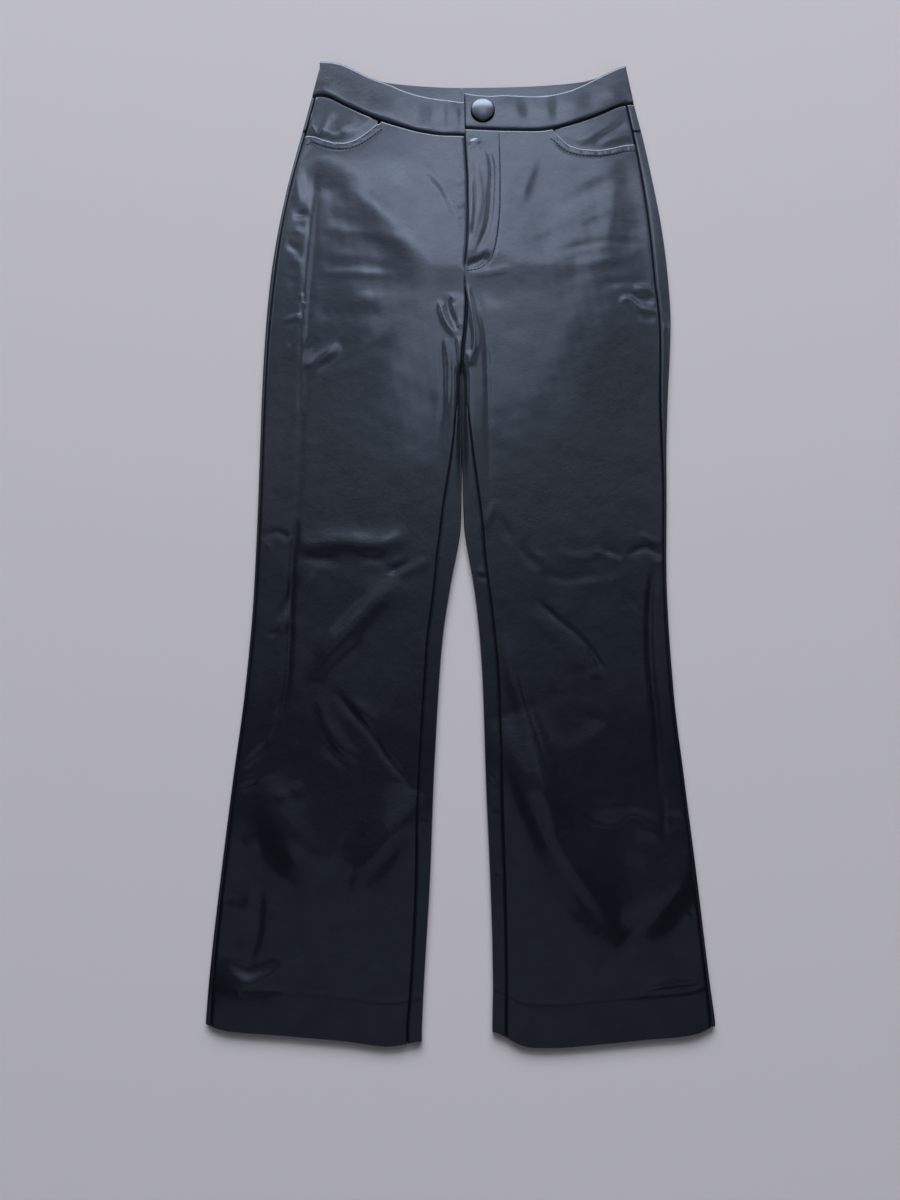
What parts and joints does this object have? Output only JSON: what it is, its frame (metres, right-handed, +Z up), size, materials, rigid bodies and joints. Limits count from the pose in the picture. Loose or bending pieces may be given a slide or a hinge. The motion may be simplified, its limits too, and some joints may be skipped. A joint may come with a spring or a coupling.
{
  "type": "leather trousers",
  "caption": "High-waisted kick-flare trousers in smooth black leather cloth, laid out flat with the front up, shaped waistband, curved pocket mouths, lapped fly and domed button.",
  "frame": {"origin": "on the surface the trousers lie on, under the middle of their outline", "axes": "+Z up, out of the garment's front; +Y from the hems towards the waist; +X towards the wearer's left"},
  "size_m": [0.472, 1.001, 0.0115],
  "materials": {
    "leather": "black satin coated leather cloth with a very fine grain",
    "waistband": "black satin coated leather cloth, faced",
    "button": "dark nickel plate, smooth dome"
  },
  "bodies": {
    "root": {"front_right": "leather", "front_left": "leather", "back_right": "leather", "back_left": "leather", "back_yoke_right": "leather", "back_yoke_left": "leather", "pocket_bearer_right": "leather", "pocket_bearer_left": "leather", "waistband_right": "waistband", "waistband_left": "waistband", "button": "button"}
  },
  "joints": []
}
